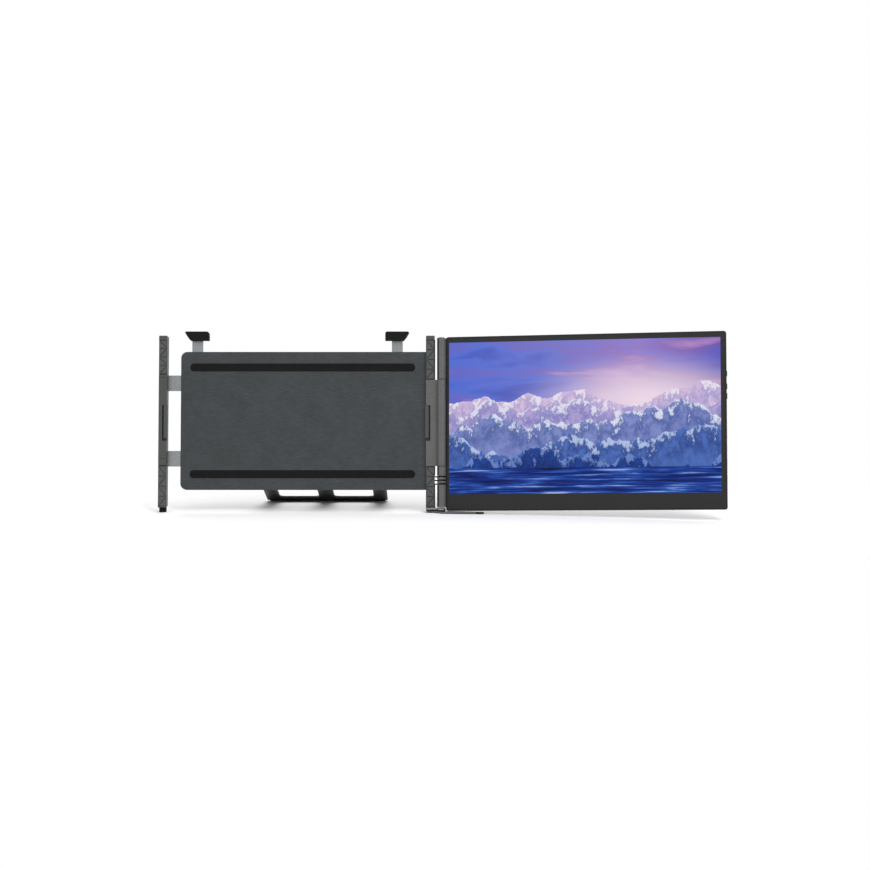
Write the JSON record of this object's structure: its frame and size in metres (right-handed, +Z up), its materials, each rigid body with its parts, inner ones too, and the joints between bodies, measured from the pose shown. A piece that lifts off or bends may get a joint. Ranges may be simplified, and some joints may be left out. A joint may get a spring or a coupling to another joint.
{
  "type": "clip-on laptop screen extender",
  "caption": "Laptop screen extender: a bracket with clamping rails, spring clips, sliding top hooks and rear stand carries a hinged portable monitor",
  "frame": {"origin": "where the axis of the screen hinge meets the table", "axes": "+X to the viewer's right along the bracket, +Y away from the viewer, +Z up"},
  "size_m": [0.7166, 0.1961, 0.2336],
  "materials": {
    "anodised_aluminium": "fine blasted, dark grey anodised",
    "painted_zinc": "satin grey paint on die-cast zinc",
    "grey_abs": "satin moulded ABS",
    "black_abs": "fine textured black ABS",
    "steel": "ground and brushed",
    "black_rubber": "matt moulded rubber",
    "display_glass": "anti-glare display glass, lit from behind",
    "acrylic": "clear polished acrylic",
    "circuit_board": "solder mask on fibreglass"
  },
  "bodies": {
    "bracket": {"right_rail": "anodised_aluminium", "right_upper_trim": "grey_abs", "right_lower_trim": "grey_abs", "right_cap": "grey_abs", "hinge_bridge": "painted_zinc", "base_plate": "anodised_aluminium", "base_pad": "black_rubber", "hinge_pin": "steel", "hinge_fingers": "steel", "bay_panel": "anodised_aluminium", "rear_shell": "black_abs", "bay_pads": "black_rubber", "stand_pins": "steel", "bracket_screws": "steel", "foot_pivot": "steel"},
    "left_slide": {"left_rail": "anodised_aluminium", "left_upper_trim": "grey_abs", "left_middle_cover": "grey_abs", "left_lower_trim": "grey_abs", "left_cap": "grey_abs", "slide_arms": "steel", "left_rail_foot": "black_rubber"},
    "left_clip_body": {"left_clip": "black_abs", "left_clip_pad": "black_rubber"},
    "right_clip_body": {"right_clip": "black_abs", "right_clip_pad": "black_rubber"},
    "left_hook_body": {"left_hook": "black_abs", "left_hook_stem": "steel", "left_hook_pad": "black_rubber"},
    "right_hook_body": {"right_hook": "black_abs", "right_hook_stem": "steel", "right_hook_pad": "black_rubber"},
    "stand": {"stand_flap": "anodised_aluminium", "stand_strip": "black_rubber"},
    "foot": {"swing_foot": "anodised_aluminium", "swing_foot_sole": "black_rubber"},
    "screen": {"front_bezel": "black_abs", "rear_cover": "black_abs", "display_glass": "display_glass", "diffuser": "acrylic", "light_guide": "acrylic", "back_tray": "steel", "led_strip": "circuit_board", "main_board": "circuit_board", "board_chips": "black_abs", "usb_c_ports": "steel", "mini_hdmi_port": "steel", "speakers": "black_abs", "flex_cable": "circuit_board", "upper_knuckle": "painted_zinc", "lower_knuckle": "painted_zinc", "knuckle_covers": "black_abs", "screen_screws": "steel", "button_board": "circuit_board"},
    "power": {"power_button": "black_abs"},
    "plus": {"plus_button": "black_abs"},
    "minus": {"minus_button": "black_abs"}
  },
  "joints": [
    {"name": "screen_swing", "type": "hinge", "parent": "bracket", "child": "screen", "pos_m": [0, 0.01721, 0.10865], "axis": [0, -0.1564, -0.9877], "range_deg": [-12, 168]},
    {"name": "left_rail_slide", "type": "slide", "parent": "bracket", "child": "left_slide", "axis": [-1, 0, 0], "range_m": [-0.016, 0.05]},
    {"name": "left_clip_slide", "type": "slide", "parent": "left_slide", "child": "left_clip_body", "axis": [-1, 0, 0], "range_m": [0, 0.0017], "stiffness_N_per_m": 300, "springref_m": -0.002},
    {"name": "right_clip_slide", "type": "slide", "parent": "bracket", "child": "right_clip_body", "axis": [1, 0, 0], "range_m": [0, 0.0017], "stiffness_N_per_m": 300, "springref_m": -0.002},
    {"name": "left_hook_slide", "type": "slide", "parent": "bracket", "child": "left_hook_body", "axis": [0, 0.1564, 0.9877], "range_m": [-0.01, 0.028]},
    {"name": "right_hook_slide", "type": "slide", "parent": "bracket", "child": "right_hook_body", "axis": [0, 0.1564, 0.9877], "range_m": [-0.01, 0.028]},
    {"name": "stand_fold", "type": "hinge", "parent": "bracket", "child": "stand", "pos_m": [-0.151, 0.02481, 0.03454], "axis": [1, 0, 0], "range_deg": [0, 99.65]},
    {"name": "foot_swing", "type": "hinge", "parent": "bracket", "child": "foot", "pos_m": [-0.01215, 0.0125, 0.0016], "axis": [0, 0, -1], "range_deg": [0, 150]},
    {"name": "power_press", "type": "slide", "parent": "screen", "child": "power", "axis": [-0.9781, 0.2054, -0.0325], "range_m": [0, 0.0004], "stiffness_N_per_m": 300, "springref_m": -0.001},
    {"name": "plus_press", "type": "slide", "parent": "screen", "child": "plus", "axis": [-0.9781, 0.2054, -0.0325], "range_m": [0, 0.0004], "stiffness_N_per_m": 300, "springref_m": -0.001},
    {"name": "minus_press", "type": "slide", "parent": "screen", "child": "minus", "axis": [-0.9781, 0.2054, -0.0325], "range_m": [0, 0.0004], "stiffness_N_per_m": 300, "springref_m": -0.001}
  ]
}
